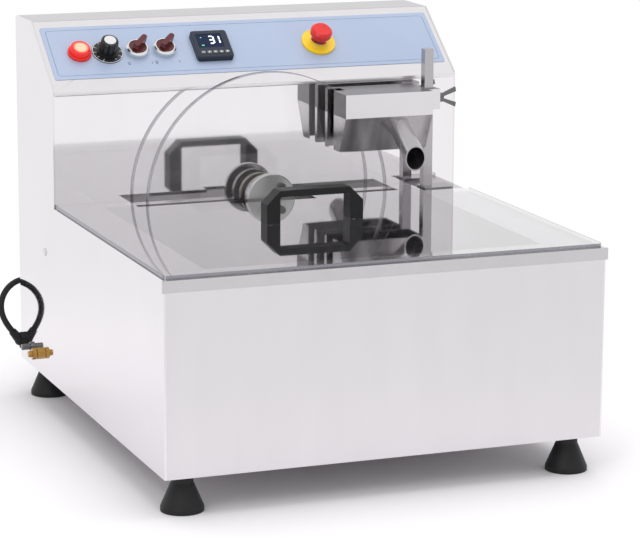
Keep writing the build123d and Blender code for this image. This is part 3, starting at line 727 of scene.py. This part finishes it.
def ring_plate(name, inner, outer, place, finish, body):
    """A flat ring, from the four circles of its edges."""
    mesh = bmesh.new()
    edges = ((inner, 0.0), (outer, 0.0), (outer, PRINT_THICK), (inner, PRINT_THICK))
    right, up = Vector((1, 0, 0)), Vector((0, 1, 0))
    loops = [
        circle_loop(mesh, Vector((0, 0, z)), right, up, radius, RING_STEPS) for radius, z in edges
    ]
    join_loops(mesh, loops + loops[:1])
    return make_piece(name, mesh, place, finish, body)


# %% [markdown]
# Printed digits and lit ones can share one form: the seven bars of a simple figure. A table
# says which bars each digit has, and a function gives their outlines round a middle.

# %% Seven-bar figures
BARS_OF = {
    "0": "abcdef", "1": "bc", "2": "abged", "3": "abgcd", "4": "fgbc",
    "5": "afgcd", "6": "afgedc", "7": "abc", "8": "abcdefg", "9": "abfgcd",
}
FIGURE_SHAPE = 0.52
BAR_GAP = 0.6


def figure(digit, x, y, height, weight):
    """The bars of one digit round a middle."""
    width = height * FIGURE_SHAPE
    half = height / 2
    level = (width - weight, weight)
    upright = (weight, half - weight * BAR_GAP)
    places = {
        "a": (x, y + half, *level),
        "g": (x, y, *level),
        "d": (x, y - half, *level),
        "b": (x + width / 2, y + half / 2, *upright),
        "c": (x + width / 2, y - half / 2, *upright),
        "f": (x - width / 2, y + half / 2, *upright),
        "e": (x - width / 2, y - half / 2, *upright),
    }
    return [bar(*places[letter]) for letter in BARS_OF[digit]]


# %% [markdown]
# The speed dial is a black disc with a white rim and a printed scale. Eleven ticks run over
# 300 degrees round the knob, and the first ten have a plain digit outside them.

# %% Speed dial
DIAL_RIM = 0.0196
RIM_WIDTH = 0.0006
TICK_COUNT = 11
TICK_START = 240
TICK_TURN = 30
TICK_AT = 0.0152
TICK_LENGTH = 0.0016
TICK_WIDTH = 0.0005
DIGIT_AT = 0.0178
DIGIT_HEIGHT = 0.0018
DIGIT_WEIGHT = 0.00032
dial_place = on_face("speed_dial")
dial_prints = []
for step in range(TICK_COUNT):
    angle = math.radians(TICK_START - step * TICK_TURN)
    way = Vector((math.cos(angle), math.sin(angle)))
    dial_prints.append(bar(*(way * TICK_AT), TICK_LENGTH, TICK_WIDTH, angle))
    if step < TICK_COUNT - 1:
        dial_prints += figure(str(step), *(way * DIGIT_AT), DIGIT_HEIGHT, DIGIT_WEIGHT)
plates("dial_scale", dial_prints, dial_place, print_white, "cabinet")
ring_plate(
    "dial_rim", DIAL_RIM - RIM_WIDTH, DIAL_RIM, dial_place, print_white, "cabinet"
)
print("outlines on the dial", len(dial_prints))

# %% [markdown]
# The window shows the number 31, and two small green marks beside it stand for outputs that
# are on. All of them are thin plates on the glass, and they give their own light.

# %% Display figures
LIT_HEIGHT = 0.0125
LIT_WEIGHT = 0.0019
LIT_UP = 0.0015
LIT_PLACES = {"3": 0.0025, "1": 0.0100}
MARK_ACROSS = -0.0105
MARK_HEIGHT = 0.0012
MARKS = {-0.0075: 0.0035, 0.0060: 0.0018}
glass = on_face("display_window")
lit = []
for digit, across in LIT_PLACES.items():
    lit += figure(digit, across, LIT_UP, LIT_HEIGHT, LIT_WEIGHT)
plates("display_figures", lit, glass, digit_white, "cabinet")
green = [bar(MARK_ACROSS, up, width, MARK_HEIGHT) for up, width in MARKS.items()]
plates("display_marks", green, glass, digit_green, "cabinet")
print("outlines on the glass", len(lit) + len(green))

# %% [markdown]
# The keys below the window carry small pale marks: a bar, arrows and a square. Each mark
# rides on its own key, so it goes down with it.

# %% Key marks
KEY_PRINT_THICK = 0.0001
arrow = [(-0.0013, -0.0008), (0.0013, -0.0008), (0.0, 0.0011)]
key_marks = {
    1: bar(0, 0, 0.0024, 0.0006),
    2: [(y, -x) for x, y in arrow][::-1],
    3: [(x, -y) for x, y in arrow][::-1],
    4: arrow,
    5: bar(0, 0, 0.0018, 0.0018),
}
for number, outline in key_marks.items():
    place = on_face(f"display_key_{number}")
    plates(
        f"key_mark_{number}", [outline], place, print_white, f"key_{number}",
        KEY_PRINT_THICK,
    )
print("keys with a mark", len(key_marks))

# %% [markdown]
# A mains lead bends in smooth curves under its own weight. One curve object with a round
# bevel carries the whole lead: it leaves the gland upwards, falls to the table in a broad
# loop, and ends in a flat coil of about four turns behind the cabinet, beside its plug.

# %% Mains lead
CORD_RADIUS = 0.004
lead_points = [
    mm(-277.58, 296.24, 82.62), mm(-288.36, 298.75, 96.81), mm(-291, 305, 119),
    mm(-279, 313, 138), mm(-256, 324, 146), mm(-233, 333, 134), mm(-218, 339, 109),
    mm(-209, 344, 78), mm(-197, 353, 49), mm(-175, 367, 26), mm(-147, 384, 13),
    mm(-120, 398.5, 9), mm(-93, 411.4, 7), mm(-65, 422.6, 5),
]
coil_centre = mm(-47, 378, 0)
plug_back = mm(-9.3, 426, 17)
TURN_POINTS = 14
COIL_TURNS = 4.0
COIL_START = math.radians(112)
COIL_END = math.radians(90) - 2 * math.pi * COIL_TURNS
OUTER_TURN = 0.048
INNER_TURN = 0.040
LOW_LAYER = 0.004
HIGH_LAYER = 0.012
SPLINE_PULL = 0.975
FIRST_SHIFT = (0.80, 1.10)
CLIMB = (1.85, 2.10)
SECOND_SHIFT = (2.85, 3.15)
WAVER = 0.006
WAVER_RATE = 5.0


def eased(value, first, last):
    """0 before first, 1 after last, and a smooth rise between them."""
    share = min(1.0, max(0.0, (value - first) / (last - first)))
    return share * share * (3 - 2 * share)


def coil_points():
    """The turns: outer and inner on the table, then inner and outer on top of them."""
    made = []
    count = round((COIL_START - COIL_END) / (2 * math.pi) * TURN_POINTS)
    for step in range(1, count):
        angle = COIL_START - step * 2 * math.pi / TURN_POINTS
        turns = step / TURN_POINTS
        inward = eased(turns, *FIRST_SHIFT) - eased(turns, *SECOND_SHIFT)
        radius = OUTER_TURN + (INNER_TURN - OUTER_TURN) * inward
        radius = radius / SPLINE_PULL * (1 + WAVER * math.sin(WAVER_RATE * turns))
        height = LOW_LAYER + (HIGH_LAYER - LOW_LAYER) * eased(turns, *CLIMB)
        made.append(
            coil_centre + Vector((radius * math.cos(angle), radius * math.sin(angle), height))
        )
    return made


end_run = [mm(-47, 427, 12.5), mm(-30, 427, 14.5), mm(-18, 426, 17)]
cord_data = bpy.data.curves.new("mains_lead", "CURVE")
cord_data.dimensions = "3D"
cord_data.bevel_depth = CORD_RADIUS
cord_data.bevel_resolution = 5
cord_data.resolution_u = 6
cord_data.use_fill_caps = True
spline = cord_data.splines.new("NURBS")
cord_route = lead_points + coil_points() + end_run + [plug_back]
spline.points.add(len(cord_route) - 1)
for point, place in zip(spline.points, cord_route):
    point.co = (*place, 1.0)
spline.order_u = 3
spline.use_endpoint_u = True
cord_data.materials.append(cord_black)
mains_lead = bpy.data.objects.new("mains_lead", cord_data)
bpy.context.scene.collection.objects.link(mains_lead)
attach(mains_lead, "cabinet")
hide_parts("cord_lead", "cord_coil")
print("points on the lead", len(cord_route))

# %% [markdown]
# The tank is folded from sheet and welded at its four corners. A weld bead is a row of
# small overlapping scales, so it is a tube whose radius swells a little at each scale.

# %% Weld beads
BEAD_RADIUS = 0.0011
BEAD_SWELL = 0.12
BEAD_CORNERS = 8
SCALE_LENGTH = 0.0024
TANK_RIM = 0.010
TANK_WALL = 0.0015
RIM_DROP = 0.002
FLOOR_SIDE = 0.104
FLOOR_FRONT = -0.014
TANK_BACK = 0.127
tank_low, tank_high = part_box("tank")
tank_x = (tank_low.x + tank_high.x) / 2
rim_z = tank_high.z - RIM_DROP
floor_z = tank_low.z + TANK_WALL


def bead(name, start, end):
    """A weld bead from one point to another."""
    along = (end - start).normalized()
    side = along.orthogonal().normalized()
    other = along.cross(side)
    length = (end - start).length
    count = int(length / SCALE_LENGTH) * 2
    mesh = bmesh.new()
    rings = []
    for step in range(count + 1):
        radius = BEAD_RADIUS * (1 + BEAD_SWELL if step % 2 else 1 - BEAD_SWELL)
        centre = start + along * (length * step / count)
        rings.append(circle_loop(mesh, centre, side, other, radius, BEAD_CORNERS))
    tube(mesh, rings, smooth=True)
    return make_piece(name, mesh, Matrix.Identity(4), bright_metal, "cabinet")


tank_ends = {"front": (tank_low.y + TANK_RIM, FLOOR_FRONT), "back": (TANK_BACK, TANK_BACK)}
tank_sides = {
    "left": (tank_low.x + TANK_RIM, tank_x - FLOOR_SIDE),
    "right": (tank_high.x - TANK_RIM, tank_x + FLOOR_SIDE),
}
for end_name, (rim_y, floor_y) in tank_ends.items():
    for side_name, (rim_x, floor_x) in tank_sides.items():
        rim_corner = Vector((rim_x, rim_y, rim_z))
        floor_corner = Vector((floor_x, floor_y, floor_z))
        weld = bead(f"tank_weld_{end_name}_{side_name}", rim_corner, floor_corner)
        print(weld.name, len(weld.data.polygons), "faces")

# %% [markdown]
# The studs at the rear left corner are threaded. Turned ridges with the thread's pitch show
# that at this size: rings round the stud's axis that are wide and narrow by turns.

# %% Threads
THREAD_RADIUS = 0.0039
THREAD_PITCH = 0.00125
THREAD_RISE = 0.00018
THREAD_DIP = 0.00022
THREAD_START = 0.0006
THREAD_CORNERS = 28


def thread(name, node, length, finish):
    """Ridges on the outer end of a stud that points to -X."""
    low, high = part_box(node)
    spot = middle(node)
    back, up = Vector((0, 1, 0)), Vector((0, 0, 1))
    mesh = bmesh.new()
    rings = []
    for step in range(int(length / THREAD_PITCH) * 2 + 1):
        radius = THREAD_RADIUS + (THREAD_RISE if step % 2 else -THREAD_DIP)
        spot.x = low.x + THREAD_START + THREAD_PITCH / 2 * step
        rings.append(circle_loop(mesh, spot, back, up, radius, THREAD_CORNERS))
    tube(mesh, rings)
    print(name, "rings", len(rings))
    return make_piece(name, mesh, Matrix.Identity(4), finish, "cabinet")


thread("steel_stud_thread", "steel_stud", 0.010, dark_metal)
thread("earth_stud_thread", "earth_stud", 0.006, brass)

# %% [markdown]
# The selectors have an off and an on place. A plain 0 and 1 are printed on the foil below
# each of them. Their matrix is the ring's, let down from the ring's face to the foil's.

# %% Selector marks
FIGURE_HEIGHT = 0.0042
FIGURE_WEIGHT = 0.0006
FIGURE_ALONG = -0.0215
FIGURE_PLACES = {"0": -0.0150, "1": 0.0140}
foil_out = span("panel_overlay", slope_out)[1]
for number in (1, 2):
    ring_place = on_face(f"selector_ring_{number}")
    drop = ring_place.translation.dot(slope_out) - foil_out
    place = ring_place @ Matrix.Translation((0, 0, -drop))
    printed = []
    for digit, across in FIGURE_PLACES.items():
        printed += figure(digit, across, FIGURE_ALONG, FIGURE_HEIGHT, FIGURE_WEIGHT)
    plates(f"selector_marks_{number}", printed, place, print_black, "cabinet")
    print("selector", number, "ring stands", round(drop * 1000, 2), "mm above the foil")

# %% [markdown]
# The machine stands on a white sweep. Close to it the floor is a pale matt surface, which
# takes a soft shadow, and further off it turns into plain white light, so no edge shows.

# %% Floor
FLOOR_RADIUS = 7.0
FLOOR_DROP = 0.0002
FADE_START = 0.50
FADE_END = 1.25
FLOOR_TONE = (0.98, 0.965, 0.985, 1)
WHITE = (1, 1, 1, 1)
solid_middle = (Vector(solid_box[0]) + Vector(solid_box[1])) / 2


def floor_sweep():
    """Pale and matt near the machine, and plain white light further off."""
    made = Finish("floor_sweep")
    x, y, z = made.place()
    across = x - solid_middle.x
    back = y - solid_middle.y
    distance = (across * across + back * back).root()
    fade = made.node(
        "MapRange",
        {"interpolation_type": "SMOOTHSTEP"},
        {"Value": distance, "From Min": FADE_START, "From Max": FADE_END},
    )
    matt = made.node("BsdfDiffuse", inputs={"Color": FLOOR_TONE})
    light = made.node("Emission", inputs={"Color": WHITE, "Strength": 1.0})
    both = made.node("MixShader", inputs={0: fade, 1: matt, 2: light})
    made.node("OutputMaterial", inputs={"Surface": both})
    return made.material


floor_mesh = bmesh.new()
bmesh.ops.create_circle(floor_mesh, cap_ends=True, segments=96, radius=FLOOR_RADIUS)
floor_data = bpy.data.meshes.new("floor")
floor_mesh.to_mesh(floor_data)
floor_mesh.free()
floor_data.materials.append(floor_sweep())
floor = bpy.data.objects.new("floor", floor_data)
floor.location = (0, 0, -FLOOR_DROP)
bpy.context.scene.collection.objects.link(floor)
print("floor round", [round(v, 3) for v in solid_middle])

# %% [markdown]
# The room is white where the camera, metal or glass sees it, and it gives the matt pieces a
# little less light than that. Metal that mirrors the space in front of the machine also
# sees a slightly darker band, as from the far side of a studio, so it doesn't look chalky.

# %% Background
AMBIENT = 0.74
BAND_LOW = 0.10
BAND_HIGH = 0.62
BAND_DEPTH = 0.15
world = bpy.data.worlds.new("studio")
bpy.context.scene.world = world
world.use_nodes = True
sky = Nodes(world.node_tree)
mirrored = sky.node("LightPath", output="Is Glossy Ray")
seen = sky.node("LightPath", output="Is Camera Ray").larger(mirrored)
seen = seen.larger(sky.node("LightPath", output="Is Transmission Ray"))
looking = sky.node("TexCoord", output="Generated")
ahead = sky.node("SeparateXYZ", inputs={0: looking}, output="Y").below(0.0)
height = sky.node("SeparateXYZ", inputs={0: looking}, output="Z")
band = height.above(BAND_LOW) * height.below(BAND_HIGH) * ahead * mirrored * BAND_DEPTH
strength = (seen * (1 - AMBIENT) + AMBIENT) * (1 - band)
background = sky.node("Background", inputs={"Color": WHITE, "Strength": strength})
sky.node("OutputWorld", inputs={"Surface": background})
print("nodes in the background", len(sky.tree.nodes))

# %% [markdown]
# Two soft lamps hang over the machine, as over a product table in a studio. The larger one
# gives the broad light and the soft shadow, and metal doesn't mirror it. The smaller one,
# from the front left, puts small highlights on the rounded plastics.

# %% Lamps
def soft_lamp(name, place, aim, width, power):
    """A square lamp that faces a point."""
    data = bpy.data.lights.new(name, "AREA")
    data.shape = "SQUARE"
    data.size = width
    data.energy = power
    lamp = bpy.data.objects.new(name, data)
    lamp.location = place
    lamp.rotation_euler = (Vector(aim) - Vector(place)).to_track_quat("-Z", "Y").to_euler()
    bpy.context.scene.collection.objects.link(lamp)
    return lamp


overhead = soft_lamp("overhead", (0.2, 0.1, 2.6), (0, 0.05, 0), width=2.6, power=34)
overhead.visible_glossy = False
front_left = soft_lamp("front_left", (-1.5, -1.8, 1.9), (0, 0, 0.3), width=0.8, power=9)
bpy.context.scene.view_settings.view_transform = "Standard"
print("lamps", overhead.name, front_left.name)
